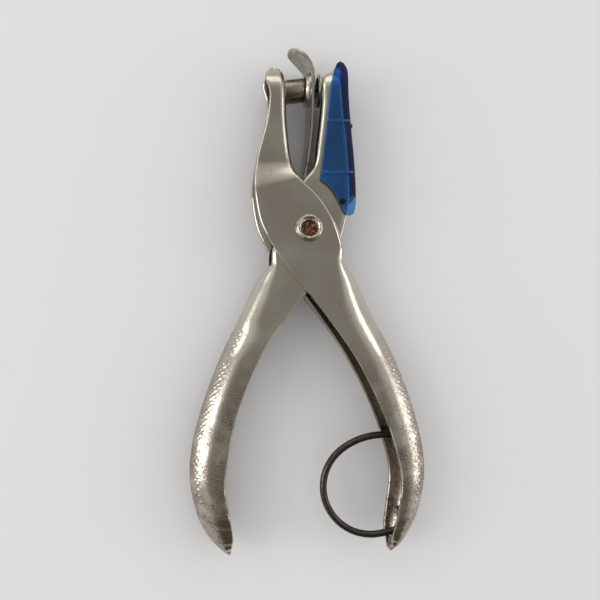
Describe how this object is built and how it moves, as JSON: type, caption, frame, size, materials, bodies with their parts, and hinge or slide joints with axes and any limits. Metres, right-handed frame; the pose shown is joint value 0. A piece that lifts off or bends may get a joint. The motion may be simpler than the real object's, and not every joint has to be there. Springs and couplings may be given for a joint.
{
  "type": "hole punch",
  "caption": "Plier-style single-hole hand punch in nickel-plated stamped steel, with a blue chip catcher and a wire loop on one handle.",
  "frame": {"origin": "under the middle of the punch as it lies on its side, at the height of its lowest point", "axes": "+Z along the rivet, up from the surface it lies on; +Y from the handles to the jaws; +X from the punch jaw to the die jaw"},
  "size_m": [0.0633, 0.1364, 0.0146],
  "materials": {
    "nickel_plate": "nickel plated, lightly worn",
    "rivet_steel": "plated, rolled",
    "tool_steel": "hardened and ground",
    "nickel_strip": "nickel plated strip",
    "spring_wire": "oiled spring wire",
    "blue_plastic": "translucent, moulded",
    "black_wire": "black oxide"
  },
  "bodies": {
    "die_side": {"die_arm": "nickel_plate", "die_button": "tool_steel", "stripper": "nickel_strip", "pivot_rivet": "rivet_steel", "rivet_washer": "rivet_steel", "opening_spring": "spring_wire"},
    "punch_side": {"punch_arm": "nickel_plate", "punch_pin": "tool_steel"},
    "catcher": {"chip_catcher": "blue_plastic"},
    "loop": {"wire_loop": "black_wire"}
  },
  "joints": [
    {"name": "squeeze", "type": "hinge", "parent": "die_side", "child": "punch_side", "pos_m": [0, 0.0192, 0.00715], "axis": [0, 0, -1], "range_deg": [0, 7], "stiffness_Nm_per_rad": 0.6, "springref_deg": -14.32, "deforming": ["opening_spring"]},
    {"name": "catcher_hinge", "type": "hinge", "parent": "die_side", "child": "catcher", "pos_m": [0.009, 0.0264, 0.00715], "axis": [0, 0, -1], "range_deg": [0, 40]},
    {"name": "loop_swing", "type": "hinge", "parent": "punch_side", "child": "loop", "pos_m": [0.0259, -0.045, 0.00715], "axis": [0, 1, 0], "range_deg": [-32, 32]}
  ]
}
